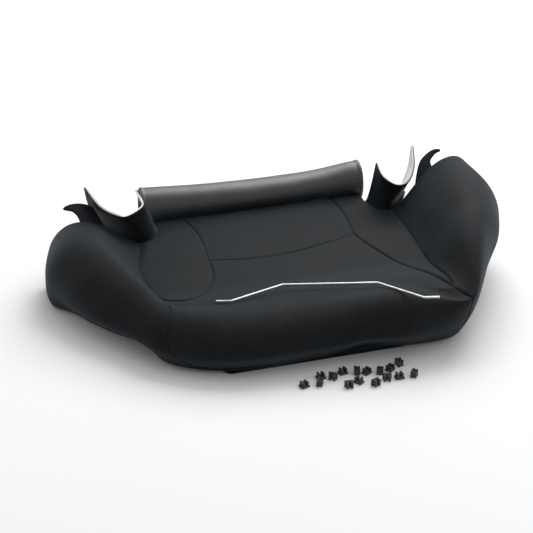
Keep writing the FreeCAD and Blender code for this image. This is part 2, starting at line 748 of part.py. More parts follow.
def trim_clips():
    clip = clip_shape()
    copies = []
    for x, y, spin, tipped in CLIPS:
        item = clip.copy()
        turn = Rotation(Vector(0, 0, 1), spin) * Rotation(Vector(1, 0, 0), 90 * tipped)
        item.Placement = Placement(Vector(0, 0, 0), turn)
        item.translate(Vector(x, y, 0) - Vector(0, 0, item.BoundBox.ZMin))
        copies.append(item)
    group = doc.addObject("Part::Feature", "trim_clips")
    group.Shape = Part.makeCompound(copies)
    keep(group, "trim_clips")


# ---------------------------------------------------------------- build and write

def build():
    cloth_panels()
    hem_retainers()
    tongues()
    rear_flap()
    under_flap()
    hook_tabs()
    seam_wires()
    loose_wire()
    trim_clips()
    doc.recompute()


def check_and_write():
    for item in doc.Objects:
        if {"Invalid", "Error"} & set(item.State):
            raise SystemExit("%s failed: %s" % (item.Label, item.State))
    for item in nodes:
        if item.Shape.isNull() or not item.Shape.isValid():
            raise SystemExit(item.Label + " has no valid shape")
    os.makedirs("parts", exist_ok=True)
    for item in nodes:
        item.Shape.exportStep("parts/" + item.Label + ".step")


build()
check_and_write()
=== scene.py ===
import math

import bpy
import numpy as np
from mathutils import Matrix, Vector, noise


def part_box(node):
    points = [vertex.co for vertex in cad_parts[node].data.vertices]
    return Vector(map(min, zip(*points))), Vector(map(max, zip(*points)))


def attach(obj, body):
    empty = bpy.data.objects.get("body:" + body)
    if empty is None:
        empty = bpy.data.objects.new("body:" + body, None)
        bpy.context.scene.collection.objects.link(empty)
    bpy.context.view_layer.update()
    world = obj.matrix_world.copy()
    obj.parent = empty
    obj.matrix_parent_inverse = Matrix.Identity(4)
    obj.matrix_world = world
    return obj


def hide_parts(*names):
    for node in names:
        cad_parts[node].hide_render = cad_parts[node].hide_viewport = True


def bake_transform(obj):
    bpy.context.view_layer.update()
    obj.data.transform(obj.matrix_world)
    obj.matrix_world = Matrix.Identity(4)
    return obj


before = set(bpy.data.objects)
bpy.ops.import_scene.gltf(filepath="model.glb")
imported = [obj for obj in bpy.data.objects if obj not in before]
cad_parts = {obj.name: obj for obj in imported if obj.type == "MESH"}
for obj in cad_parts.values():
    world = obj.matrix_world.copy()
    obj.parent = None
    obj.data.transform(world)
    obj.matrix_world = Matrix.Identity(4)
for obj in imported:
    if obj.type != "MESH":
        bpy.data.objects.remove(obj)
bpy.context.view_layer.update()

MM = 0.001
CLOTH = 5.0                         # thickness of the foam-backed cloth


# ---------------------------------------------------------------- the cover's surface

SEAT_UP, NOSE_RISE, NOSE_START, NOSE_RUN = 60, 13, 130, 105
SLUMP = 0.15 / 200                  # heights grow to the right by this share per millimetre
TWIST, TWIST_UP, TWIST_FROM, TWIST_RUN = 0.08, 50, 200, 150
HEM_TUCK = 22
RIDGE_AT, BULGE_AT, FULLNESS = 0.4, 0.7, 1.1

# Sections through the rim: valley x and y, heading, slope at the valley, then the distance
# out and the height of the ridge, the bulge and the hem.
STATIONS = {
    "rear": (189, 304, 2, 26, 92, 117, 136, 54, 130, 0),
    "side": (203, 225, 0, 46, 78, 126, 132, 54, 126, 4),
    "middle": (201, 160, 0, 44, 56, 118, 112, 56, 91, 14),
    "flank": (188, 102, -34, 36, 38, 98, 75, 50, 46, 16),
    "corner": (174, 58, -62, 22, 30, 84, 63, 44, 44, 9),
    "quarter": (108, 42, -84, 10, 40, 80, 84, 42, 60, 6),
    "front": (0, 42, -90, 7, 40, 78, 84, 41, 60, 6),
    "right_front": (60, 38, -88, 8, 38, 79, 82, 42, 56, 14),
    "right_rear": (201, 297, 2, 36, 93, 122, 134, 62, 122, 4),
    "right_side": (201, 230, 0, 46, 80, 122, 142, 64, 113, 8),
    "right_middle": (197, 160, -6, 44, 64, 118, 116, 68, 81, 14),
    "right_flank": (190, 86, -14, 38, 42, 104, 74, 56, 53, 14),
    "right_corner": (182, 0, -52, -16, 29, 66, 32, 44, 21, 8),
    "right_quarter": (118, 30, -84, 10, 36, 79, 78, 42, 54, 6),
}
LEFT_ROUND = ("rear", "side", "middle", "flank", "corner", "quarter")
RIGHT_ROUND = ("right_front", "right_quarter", "right_corner", "right_flank", "right_middle",
               "right_side", "right_rear")


def mirrored(section):
    return (-section[0], section[1], -180 - section[2], *section[3:])


ROUND = ([mirrored(STATIONS[name]) for name in LEFT_ROUND] + [STATIONS["front"]]
         + [STATIONS[name] for name in RIGHT_ROUND])
LAST = len(ROUND) - 1               # the right-hand rear section; the left-hand one is 0


def smooth(ratio):
    """0 below 0, 1 above 1, and an S-shaped step between."""
    ratio = np.clip(ratio, 0.0, 1.0)
    return ratio * ratio * (3 - 2 * ratio)


def cubic(start, end, start_slope, end_slope, ratio):
    square, cube = ratio ** 2, ratio ** 3
    return ((2 * cube - 3 * square + 1) * start + (cube - 2 * square + ratio) * start_slope
            + (3 * square - 2 * cube) * end + (cube - square) * end_slope)


def spline(rows, position):
    """The row of numbers at a position on a smooth curve through the rows, straight beyond them."""
    inside = min(max(position, 0), len(rows) - 1)
    start = min(int(inside), len(rows) - 2)
    before, after = rows[max(start - 1, 0)], rows[min(start + 2, len(rows) - 1)]
    legs = zip(before, rows[start], rows[start + 1], after)
    return [cubic(b, c, (c - a) / 2, (d - b) / 2, inside - start) + (c - b) * (position - inside)
            for a, b, c, d in legs]


def along(rows, ratio):
    """The same curve, with 0 at its first row and 1 at its last."""
    return spline(rows, ratio * (len(rows) - 1))


def settle(x, y, z):
    """Let the loose cover slump to its left and twist at the front, as it lies."""
    front = smooth((TWIST_FROM - y) / TWIST_RUN)
    return (x, y + TWIST * x * front * (1 - z / TWIST_UP), z * (1 + SLUMP * x))


def on_seat(x, y):
    return settle(x, y, seat_height(y))


def seat_height(y):
    return SEAT_UP + NOSE_RISE * smooth((NOSE_START - y) / NOSE_RUN)


def valley(place):
    """Plan position where the rim starts, at a place between the rear sections 0 and LAST."""
    return spline(ROUND, place)[:2]


def rim_point(place, ratio):
    """A point of the rim: ratio 0 is the valley and 1 the hem."""
    x, y, heading, steep, *section = spline(ROUND, place)
    ridge_out, ridge_up, bulge_out, bulge_up, hem_out, hem_up = section
    rise, tuck = math.radians(steep), math.radians(HEM_TUCK)
    knots = [(0, 0.0, seat_height(y), math.cos(rise), math.sin(rise)),
             (RIDGE_AT, ridge_out, ridge_up, 1, 0),
             (BULGE_AT, bulge_out, bulge_up, 0, -1),
             (1, hem_out, hem_up, -math.sin(tuck), -math.cos(tuck))]
    leg = int(ratio > RIDGE_AT) + int(ratio > BULGE_AT)
    a, b = knots[leg], knots[leg + 1]
    reach = FULLNESS * math.hypot(b[1] - a[1], b[2] - a[2])
    step = (ratio - a[0]) / (b[0] - a[0])
    out = cubic(a[1], b[1], reach * a[3], reach * b[3], step)
    up = cubic(a[2], b[2], reach * a[4], reach * b[4], step)
    turn = math.radians(heading)
    return settle(x + out * math.cos(turn), y + out * math.sin(turn), up)


# ---------------------------------------------------------------- the seams

# Points of the curved seams, behind and in front of where the transverse seam meets them.
LEAF_REAR = {-1: [(112, 371), (103, 322), (101, 265)], 1: [(125, 371), (128, 322), (125, 275)]}
LEAF_FRONT = {-1: [(107, 168), (119, 128), (138, 98), (162, 84)],
              1: [(133, 173), (149, 121), (165, 71), (176, 32)]}
TRANSVERSE = [(-105, 210), (-50, 197), (6, 197), (62, 210), (121, 231)]
REAR_CORNER = {-1: [(157, 371), (156, 345), (162, 320), (175, 304)],     # the thigh panel's cut
               1: [(175, 371), (174, 352), (178, 320), (189, 301)]}      # for the tongue
BOLSTER_START = 0.04                                   # valley place where the bolster starts
REAR_SLANT = {-1: 0.2, 1: 0.7}                         # how far the cut edge slants to the hem
SEAT_SHARE = 0.42                   # share of the front panel that lies on the seat
BOW_FADE = 4                        # how soon the bow of its side seams fades inside it


# Where the seam between a bolster and the front panel runs, from valley to hem, as a number of
# sections from the rear.  Its first place is where the crease ends.
CORNER_SEAM = {-1: [(3.05,), (3.94,), (4.08,), (4.42,)], 1: [(3.95,), (3.98,), (4.02,), (4.05,)]}
CREASE_END = {side: places[0][0] for side, places in CORNER_SEAM.items()}


def place_on(side, stations):
    return stations if side < 0 else LAST - stations


def corner_seam(side, ratio):
    """Place of the seam between bolster and front panel, from valley (0) to hem (1)."""
    return place_on(side, along(CORNER_SEAM[side], ratio)[0])


def rear_edge(side, ratio):
    """Place of a bolster's cut rear edge, from valley (0) to hem (1)."""
    near = BOLSTER_START * (1 - smooth(ratio / RIDGE_AT))
    return place_on(side, near + REAR_SLANT[side] * smooth((ratio - 0.5) / 0.5))


def leaf_seam(side):
    """Points of the curved seam from the rear seam to the end of the crease."""
    meeting = TRANSVERSE[0] if side < 0 else TRANSVERSE[-1]
    rear, front = [[(side * x, y) for x, y in leaf[side]] for leaf in (LEAF_REAR, LEAF_FRONT)]
    return rear + [meeting] + front + [tuple(valley(place_on(side, CREASE_END[side])))]


def beside_rear(side, v):
    """A point of that seam between the rear seam (v 0) and the transverse seam (v 1)."""
    return spline(leaf_seam(side), len(LEAF_REAR[side]) * v)


def beside_front(side, v):
    """A point of that seam between the transverse seam (v 0) and the crease (v 1)."""
    return spline(leaf_seam(side), len(LEAF_REAR[side]) + (len(LEAF_FRONT[side]) + 1) * v)


def rear_panel(u, v):
    """Between the leaf seams, from the rear seam (v 0) to the transverse seam (v 1)."""
    left, right = beside_rear(-1, v), beside_rear(1, v)
    cross = along(TRANSVERSE, u)
    chord = [a + (b - a) * u for a, b in zip(TRANSVERSE[0], TRANSVERSE[-1])]
    sag = [(c - d) * v for c, d in zip(cross, chord)]
    return on_seat(left[0] + (right[0] - left[0]) * u + sag[0],
                   left[1] + (right[1] - left[1]) * u + sag[1])


def evened(rows, count=25, steps=200):
    """Points spread evenly along the smooth curve through the given ones."""
    fine = np.array([along(rows, ratio) for ratio in np.linspace(0, 1, steps)])
    walked = np.append(0, np.cumsum(np.linalg.norm(np.diff(fine, axis=0), axis=1)))
    wanted = np.linspace(0, walked[-1], count)
    return [[np.interp(mark, walked, fine[:, axis]) for axis in range(2)] for mark in wanted]


def thigh_panel(side):
    stations = np.linspace(BOLSTER_START, CREASE_END[side], 15)
    crease = [tuple(valley(place_on(side, station))) for station in stations]
    inner = evened(leaf_seam(side))
    outer = evened([(side * x, y) for x, y in REAR_CORNER[side]] + crease)

    def point(u, v):
        back = u if side < 0 else 1 - u
        near, far = along(inner, back), along(outer, back)
        return on_seat(near[0] + (far[0] - near[0]) * v, near[1] + (far[1] - near[1]) * v)
    return point


def bolster_panel(side):
    def point(u, v):
        """u runs from the cut rear edge to the corner seam (on the right the other way)."""
        back = u if side < 0 else 1 - u
        start, end = rear_edge(side, v), corner_seam(side, v)
        return rim_point(start + (end - start) * back, v)
    return point


def front_panel(u, v):
    """From the transverse seam (v 0) over the nose to the front hem (v 1)."""
    if v >= SEAT_SHARE:
        ratio = (v - SEAT_SHARE) / (1 - SEAT_SHARE)
        left, right = corner_seam(-1, ratio), corner_seam(1, ratio)
        return rim_point(left + (right - left) * u, ratio)
    depth = v / SEAT_SHARE
    rear = along(TRANSVERSE, u)
    left_end, right_end = corner_seam(-1, 0), corner_seam(1, 0)
    front = valley(left_end + (right_end - left_end) * u)
    sides = [beside_front(side, depth) for side in (-1, 1)]
    plan = []
    for axis in range(2):
        across = rear[axis] * (1 - depth) + front[axis] * depth
        bows = [sides[k][axis] - TRANSVERSE[-k][axis] * (1 - depth) - valley(end)[axis] * depth
                for k, end in enumerate((left_end, right_end))]
        plan.append(across + bows[0] * (1 - u) ** BOW_FADE + bows[1] * u ** BOW_FADE)
    return on_seat(*plan)


# ---------------------------------------------------------------- grids of points

STEP = 5.0                          # between the points of a cloth panel
SHOULDER = (0.0, 0.7, 1.6, 2.8, 4.6, 6.6, 9.0)  # distances from an edge that need points


def marks(length, start=0.0, end=1.0, step=STEP):
    """Places along a panel of about that length, close together near both of its edges."""
    inside = length - 2 * SHOULDER[-1]
    middle = np.linspace(SHOULDER[-1], SHOULDER[-1] + inside, round(inside / step) + 1)
    far = [length - distance for distance in reversed(SHOULDER[:-1])]
    ratios = np.array([*SHOULDER[:-1], *middle, *far]) / length
    return start + (end - start) * ratios


def grid_of(point, u_marks, v_marks):
    return np.array([[point(u, v) for v in v_marks] for u in u_marks])


def normals(grid):
    """Unit normals on the side that is outwards or up for this grid."""
    across = np.cross(np.gradient(grid, axis=1), np.gradient(grid, axis=0))
    return across / np.maximum(np.linalg.norm(across, axis=2, keepdims=True), 1e-9)


def edge_distances(grid):
    """Distances along the cloth to the edges u low, u high, v low and v high."""
    found = []
    for axis in (0, 1):
        steps = np.linalg.norm(np.diff(grid, axis=axis), axis=2)
        zero = np.zeros_like(np.take(steps, [0], axis=axis))
        walked = np.concatenate([zero, np.cumsum(steps, axis=axis)], axis=axis)
        found += [walked, np.take(walked, [-1], axis=axis) - walked]
    return found


def waves(grid, size, seed):
    """Smooth random heights from -1 to 1 whose lumps are about that many millimetres."""
    shift = Vector((seed * 7.3, seed * 3.1, seed * 1.7))
    flat = [noise.noise(Vector(p) / size + shift) for p in grid.reshape(-1, 3)]
    return np.array(flat).reshape(grid.shape[:2])


# ---------------------------------------------------------------- meshes

def faces_between(rows, columns, first, flipped):
    """Quads of a grid of vertices that starts at number first."""
    quads = []
    for i in range(rows - 1):
        for j in range(columns - 1):
            a = first + i * columns + j
            quad = (a, a + 1, a + columns + 1, a + columns)
            quads.append(quad[::-1] if flipped else quad)
    return quads


def border(rows, columns):
    """Numbers of a grid's outermost vertices, in order round it."""
    low = [j for j in range(columns)]
    right = [i * columns + columns - 1 for i in range(1, rows)]
    top = [(rows - 1) * columns + j for j in range(columns - 2, -1, -1)]
    return low + right + top + [i * columns for i in range(rows - 2, 0, -1)]


def add_object(name, vertices, faces):
    mesh = bpy.data.meshes.new(name)
    mesh.from_pydata([Vector(v) * MM for v in vertices], [], faces)
    mesh.update()
    item = bpy.data.objects.new(name, mesh)
    bpy.context.scene.collection.objects.link(item)
    mesh.polygons.foreach_set("use_smooth", [True] * len(mesh.polygons))
    return item


def lay_threads(item, grid):
    """UVs in metres along the cloth, so that knit and grain follow the panel."""
    u_low, _, v_low, _ = edge_distances(grid)
    flat = np.stack([u_low, v_low], axis=2).reshape(-1, 2) * MM
    layer = item.data.uv_layers.new(name="threads")
    for loop in item.data.loops:
        layer.data[loop.index].uv = flat[loop.vertex_index % len(flat)]


def shell(name, outer, inner, face, lining):
    """A closed sheet between two grids: face is on its outside and edges, lining on its inside."""
    rows, columns = outer.shape[:2]
    count = rows * columns
    quads = faces_between(rows, columns, 0, False)
    quads += faces_between(rows, columns, count, True)
    ring = border(rows, columns)
    for a, b in zip(ring, ring[1:] + ring[:1]):
        quads.append((b, a, a + count, b + count))
    item = add_object(name, np.concatenate([outer.reshape(-1, 3), inner.reshape(-1, 3)]), quads)
    lay_threads(item, outer)
    item.data.materials.append(face)
    item.data.materials.append(lining)
    inside = len(faces_between(rows, columns, 0, False))
    for polygon in list(item.data.polygons)[inside:2 * inside]:
        polygon.material_index = 1
    rounding = item.modifiers.new("rounding", "SUBSURF")
    rounding.levels = rounding.render_levels = 1
    return item


# ---------------------------------------------------------------- how the cloth lies

FRAMES = 20                         # of every cloth simulation
FABRIC = {"quality": 6, "mass": 0.4, "tension_stiffness": 25, "compression_stiffness": 25,
          "shear_stiffness": 12, "bending_stiffness": 4}
SEAM_LAP = 2.4                      # how far a sewn edge reaches past its seam, under the next
SEAM_WIDTH, SEAM_DEPTH = 5.8, 8.5   # how the cloth dives into a seam, from its own edge
EDGE_WIDTH, EDGE_DEPTH = 2.4, 1.0   # how a cut or hemmed edge is rounded
PUCKER_REACH, PUCKER_PITCH = 9.0, 15.0


def dive(distance, width, depth):
    """How far the surface has dropped at a distance from an edge: a quarter round."""
    inside = np.clip(1 - distance / width, 0, 1)
    return depth * (1 - np.sqrt(1 - inside ** 2))


def pull(distance, place, strength):
    """Small puckers where the thread pulls the cloth, along an edge."""
    ripple = np.sin(2 * math.pi * place / PUCKER_PITCH + 1.3 * np.sin(place / 23.0))
    return strength * ripple * np.exp(-distance / PUCKER_REACH)


def dressed(grid, sewn, pucker=0.25, hills=0.8, seed=1):
    """The outer face of a panel: rounded edges, puckers along its seams and gentle unevenness."""
    distances = edge_distances(grid)
    lift = hills * waves(grid, 70, seed) + 0.25 * hills * waves(grid, 24, seed + 5)
    for number, (distance, seam) in enumerate(zip(distances, sewn)):
        place = distances[2] if number < 2 else distances[0]
        if seam:
            lift = lift - dive(distance, SEAM_WIDTH, SEAM_DEPTH) + pull(distance, place, pucker)
        else:
            lift = lift - dive(distance, EDGE_WIDTH, EDGE_DEPTH)
    return grid + normals(grid) * lift[..., None]


def simulated(name, grid, pressure, cap):
    """Let the cloth between its seams swell and settle, with every edge held."""
    rows, columns = grid.shape[:2]
    item = add_object(name, grid.reshape(-1, 3), faces_between(rows, columns, 0, False))
    held = item.vertex_groups.new(name="held")
    held.add(border(rows, columns), 1.0, "REPLACE")
    cloth = item.modifiers.new("cloth", "CLOTH")
    settings = cloth.settings
    for name_of, value in FABRIC.items():
        setattr(settings, name_of, value)
    settings.vertex_group_mass = "held"
    settings.use_pressure = True
    settings.uniform_pressure_force = pressure
    settings.effector_weights.gravity = 0
    cloth.point_cache.frame_end = FRAMES
    scene = bpy.context.scene
    for number in range(1, FRAMES + 1):
        scene.frame_set(number)
    swollen = item.evaluated_get(bpy.context.evaluated_depsgraph_get())
    moved = np.array([v.co for v in swollen.data.vertices]).reshape(grid.shape) / MM - grid
    scene.frame_set(1)
    bpy.data.objects.remove(item)
    length = np.linalg.norm(moved, axis=2, keepdims=True)
    return grid + moved * np.minimum(1, cap / np.maximum(length, 1e-6))


# ---------------------------------------------------------------- materials

def principled(name, colour, roughness, **constants):
    """A material whose shader has these constants; returns it with its shader and node tree."""
    made = bpy.data.materials.new(name)
    made.use_nodes = True
    shader = made.node_tree.nodes["Principled BSDF"]
    shader.inputs["Base Color"].default_value = (*colour, 1)
    shader.inputs["Roughness"].default_value = roughness
    for socket, value in constants.items():
        shader.inputs[socket.replace("_", " ")].default_value = value
    return made, shader, made.node_tree


def node(tree, kind, inputs=None, **settings):
    made = tree.nodes.new("ShaderNode" + kind)
    for key, value in settings.items():
        setattr(made, key, value)
    for socket, value in (inputs or {}).items():
        if isinstance(value, bpy.types.NodeSocket):
            tree.links.new(value, made.inputs[socket])
        else:
            made.inputs[socket].default_value = value
    return made


def coordinates(tree, kind):
    return node(tree, "TexCoord").outputs[kind]


def noise_at(tree, where, size, detail=2.0, roughness=0.5):
    """Noise with lumps of about that size in metres."""
    inputs = {"Vector": where, "Scale": 1 / size, "Detail": detail, "Roughness": roughness}
    return node(tree, "TexNoise", inputs).outputs["Fac"]


def tinted(tree, shader, amount, dark, light):
    """Colour that runs from dark to light with a factor."""
    ramp = node(tree, "ValToRGB", {"Fac": amount})
    ramp.color_ramp.elements[0].position, ramp.color_ramp.elements[1].position = 0.3, 0.7
    ramp.color_ramp.elements[0].color = (*dark, 1)
    ramp.color_ramp.elements[1].color = (*light, 1)
    tree.links.new(ramp.outputs["Color"], shader.inputs["Base Color"])


def roughened(tree, shader, amount, low, high):
    inputs = {"Value": amount, "To Min": low, "To Max": high}
    tree.links.new(node(tree, "MapRange", inputs).outputs["Result"], shader.inputs["Roughness"])


def bumped(tree, shader, *heights):
    """Bumps one on another: each is a height and the distance in metres that it stands up."""
    normal = None
    for height, distance in heights:
        inputs = {"Height": height, "Distance": distance, "Strength": 1.0}
        if normal:
            inputs["Normal"] = normal
        normal = node(tree, "Bump", inputs).outputs["Normal"]
    tree.links.new(normal, shader.inputs["Normal"])


def combined(tree, operation, first, second):
    made = node(tree, "Math", operation=operation)
    for socket, value in zip(made.inputs, (first, second)):
        if isinstance(value, bpy.types.NodeSocket):
            tree.links.new(value, socket)
        else:
            socket.default_value = value
    return made.outputs["Value"]


def ribs(tree, where, direction, pitch, wander):
    """Parallel ribs of that pitch in metres across UVs."""
    turns_per_scale = 20 / (2 * math.pi)
    inputs = {"Vector": where, "Scale": 1 / (pitch * turns_per_scale), "Distortion": wander,
              "Detail": 1.0, "Detail Scale": 1.5}
    made = node(tree, "TexWave", inputs, wave_type="BANDS", bands_direction=direction)
    return made.outputs["Fac"]


def knit_cloth():
    """Charcoal warp knit: wales and courses, a soft nap, and uneven dye."""
    made, shader, tree = principled("knit_cloth", (0.01, 0.011, 0.012), 0.62, Sheen_Weight=0.14,
                                    Sheen_Roughness=0.3, Specular_IOR_Level=0.1)
    shader.inputs["Sheen Tint"].default_value = (0.6, 0.8, 1.0, 1)
    threads = coordinates(tree, "UV")
    wales = ribs(tree, threads, "X", 0.0013, 1.2)
    courses = ribs(tree, threads, "Y", 0.0010, 1.8)
    knit = combined(tree, "MULTIPLY", wales, courses)
    nap = noise_at(tree, coordinates(tree, "Object"), 0.0022, 3.0, 0.7)
    dye = noise_at(tree, coordinates(tree, "Object"), 0.03, 3.0)
    speckle = combined(tree, "ADD", nap, combined(tree, "MULTIPLY", dye, 0.25))
    shade = combined(tree, "ADD", combined(tree, "MULTIPLY", knit, 0.3),
                     combined(tree, "SUBTRACT", speckle, 0.2))
    tinted(tree, shader, shade, (0.0015, 0.002, 0.0025), (0.0125, 0.0145, 0.016))
    roughened(tree, shader, nap, 0.54, 0.7)
    bumped(tree, shader, (knit, 0.00025), (nap, 0.0003))
    return made


def scrim():
    """Grey nonwoven on the inside of the foam-backed cloth."""
    made, shader, tree = principled("scrim", (0.2, 0.2, 0.2), 0.95)
    where = coordinates(tree, "Object")
    fibres = noise_at(tree, where, 0.002, 5.0, 0.8)
    tinted(tree, shader, fibres, (0.16, 0.16, 0.165), (0.27, 0.27, 0.27))
    bumped(tree, shader, (fibres, 0.0003))
    return made


def foam():
    """Pale open-cell foam with its scrim."""
    made, shader, tree = principled("foam_backing", (0.72, 0.72, 0.7), 0.95)
    where = coordinates(tree, "Object")
    pores = node(tree, "TexVoronoi", {"Vector": where, "Scale": 900.0}).outputs["Distance"]
    stain = noise_at(tree, where, 0.02, 2.0)
    tinted(tree, shader, combined(tree, "ADD", combined(tree, "MULTIPLY", pores, 0.5),
                                  combined(tree, "MULTIPLY", stain, 0.5)),
           (0.6, 0.6, 0.58), (0.86, 0.86, 0.85))
    bumped(tree, shader, (pores, 0.0004))
    return made


def vinyl():
    """Dark grey vinyl with a fine leather grain and a soft gloss."""
    made, shader, tree = principled("vinyl", (0.02, 0.021, 0.023), 0.4, Specular_IOR_Level=0.75)
    threads = coordinates(tree, "UV")
    cells = node(tree, "TexVoronoi", {"Vector": threads, "Scale": 700.0, "Randomness": 1.0},
                 feature="DISTANCE_TO_EDGE").outputs["Distance"]
    grain = node(tree, "MapRange", {"Value": cells, "From Max": 0.25}).outputs["Result"]
    rub = noise_at(tree, coordinates(tree, "Object"), 0.035, 3.0)
    tinted(tree, shader, rub, (0.0105, 0.0122, 0.0145), (0.017, 0.0195, 0.0225))
    roughened(tree, shader, combined(tree, "ADD", rub, combined(tree, "MULTIPLY", grain, -0.15)),
              0.26, 0.42)
    bumped(tree, shader, (grain, 0.00012), (rub, 0.001))
    return made


def plastic(name, colour, roughness):
    """Moulded plastic with a faint spark-eroded texture and rubbed patches."""
    made, shader, tree = principled(name, colour, roughness)
    where = coordinates(tree, "Object")
    texture = noise_at(tree, where, 0.0006, 4.0, 0.7)
    rub = noise_at(tree, where, 0.006, 2.0)
    lighter = tuple(channel * 1.6 + 0.004 for channel in colour)
    tinted(tree, shader, rub, colour, lighter)
    roughened(tree, shader, rub, roughness - 0.1, roughness + 0.1)
    bumped(tree, shader, (texture, 0.00006))
    return made


def sleeve_cloth():
    """Pale nonwoven tube cloth with its long fibres."""
    made, shader, tree = principled("sleeve_cloth", (0.6, 0.6, 0.58), 0.9)
    where = coordinates(tree, "Object")
    fibres = noise_at(tree, where, 0.0022, 5.0, 0.8)
    tinted(tree, shader, fibres, (0.48, 0.48, 0.46), (0.7, 0.7, 0.68))
    bumped(tree, shader, (fibres, 0.0003))
    return made


def drawn_steel():
    """Bright drawn wire with die marks and dull patches."""
    made, shader, tree = principled("drawn_steel", (0.72, 0.72, 0.71), 0.35, Metallic=1.0)
    where = coordinates(tree, "Object")
    dull = noise_at(tree, where, 0.008, 3.0)
    marks_on_it = noise_at(tree, where, 0.0007, 2.0)
    tinted(tree, shader, dull, (0.6, 0.6, 0.59), (0.85, 0.85, 0.84))
    roughened(tree, shader, dull, 0.28, 0.5)
    bumped(tree, shader, (marks_on_it, 0.00004))
    return made


def floor_paint():
    made, shader, tree = principled("floor", (0.86, 0.86, 0.86), 0.9, Specular_IOR_Level=0.1)
    cloud = noise_at(tree, coordinates(tree, "Object"), 0.6, 2.0)
    tinted(tree, shader, cloud, (0.85, 0.85, 0.85), (0.87, 0.87, 0.87))
    return made


CLOTH_FACE, CLOTH_BACK, FOAM, VINYL = knit_cloth(), scrim(), foam(), vinyl()


# ---------------------------------------------------------------- the sewn cover

def cut_size(grid):
    """Width, length and area in metres of the flat piece of cloth that makes a grid."""
    across = np.linalg.norm(np.diff(grid, axis=0), axis=2).sum(axis=0).max()
    down = np.linalg.norm(np.diff(grid, axis=1), axis=2).sum(axis=1).max()
    sides = np.cross(grid[1:, :-1] - grid[:-1, :-1], grid[:-1, 1:] - grid[:-1, :-1])
    area = np.linalg.norm(sides, axis=2).sum()
    return across * MM, down * MM, min(area * MM ** 2, across * down * MM ** 2)


def keep_piece(replaced, grid):
    """Hide the CAD node that a sheet of cloth replaces, and work out the sheet's flat size, which
    is not kept.
    """
    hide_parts(replaced)
    width, length, area = cut_size(grid)


def sew_to_cover(item):
    """Bake a piece's transform into its mesh."""
    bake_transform(item)


def sewn_panel(label, point, lengths, sewn, pressure, extra=None, seed=1, reach=((0, 1), (0, 1)),
               hills=0.8):
    """One panel of the cover: drawn, swollen by simulation, dressed and given its thickness."""
    places = []
    for length, (start, end), (low, high) in zip(lengths, reach, (sewn[:2], sewn[2:])):
        lap = SEAM_LAP / length
        places.append(marks(length, start - lap * low, end + lap * high))
    drawn = grid_of(point, *places)
    outer = drawn
    outer = simulated(label + "_sim", drawn, pressure, cap=SWELL * pressure)
    lifted = dressed(outer, sewn, hills=hills, seed=seed)
    if extra is not None:
        lifted = lifted + normals(drawn) * extra(edge_distances(drawn))[..., None]
    sunk = ((outer - lifted) * normals(drawn)).sum(axis=2, keepdims=True)
    inner = outer - normals(drawn) * np.maximum(CLOTH, sunk + 1)
    item = shell(label + "_cloth", lifted, inner, CLOTH_FACE, CLOTH_BACK)
    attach(item, "cover")
    keep_piece(label, drawn)


# About how far each kind of panel runs across and down, which sets the number of its points.
REAR_SIZE, FRONT_SIZE, THIGH_SIZE, BOLSTER_SIZE = (230, 160), (350, 340), (300, 70), (260, 250)
SWELL = 2.0                         # most that a panel swells, at pressure 1
TAUT, FULL, FULLEST = 0.2, 0.6, 1.0  # pressures under the front, the bolsters and the seat
CALM = 0.25                         # hills of the front panel, where the loose wire lies
TO_REAR_SEAM = 2.6                  # the panels reach this much further back than their solids
THIGH_TIP = 0.985                   # where a thigh panel ends, short of its pointed tip
CREASE_LAP = 3.0                    # and a bolster reaches this much further under the thigh
HEM_ROLL, HEM_ROLL_END = 6.6, 120   # rolled band along the left part of the front hem


def thigh_fold(distances):
    """Soft fold that runs along the left crease, with a hollow beside it."""
    from_rear, _, _, from_crease = distances
    length = smooth((from_rear - 45) / 30) * smooth((190 - from_rear) / 70)
    ridge = 1.6 * np.exp(-((from_crease - 13) / 4.5) ** 2)
    hollow = 1.4 * np.exp(-((from_crease - 6) / 3.5) ** 2)
    return length * (ridge - hollow)


def hem_roll(distances):
    """Stitched groove above the rolled band of the hem, which fades to the right."""
    from_left, _, _, from_hem = distances
    groove = np.exp(-((from_hem - HEM_ROLL) / 1.6) ** 2)
    return -1.8 * smooth((HEM_ROLL_END - from_left) / 50) * groove


def cover_panels():
    sewn_panel("seat_rear_panel", rear_panel, REAR_SIZE, (True,) * 4, FULLEST, seed=2,
               reach=((0, 1), (-TO_REAR_SEAM / REAR_SIZE[1], 1)))
    sewn_panel("seat_front_panel", front_panel, FRONT_SIZE, (True, True, True, False), TAUT,
               hem_roll, seed=3, hills=CALM)
    for side, name in ((-1, "left"), (1, "right")):
        ends = (-TO_REAR_SEAM / THIGH_SIZE[0], THIGH_TIP)
        around = ends if side < 0 else (1 - ends[1], 1 - ends[0])
        sewn = (side < 0, side > 0, True, True)
        sewn_panel(name + "_thigh_panel", thigh_panel(side), THIGH_SIZE, sewn, FULLEST,
                   thigh_fold if side < 0 else None, seed=6 + side, reach=(around, (0, 1)))
        sewn = (side > 0, side < 0, True, False)
        sewn_panel(name + "_bolster_panel", bolster_panel(side), BOLSTER_SIZE, sewn, FULL,
                   seed=10 + side, reach=((0, 1), (-CREASE_LAP / BOLSTER_SIZE[1], 1)))


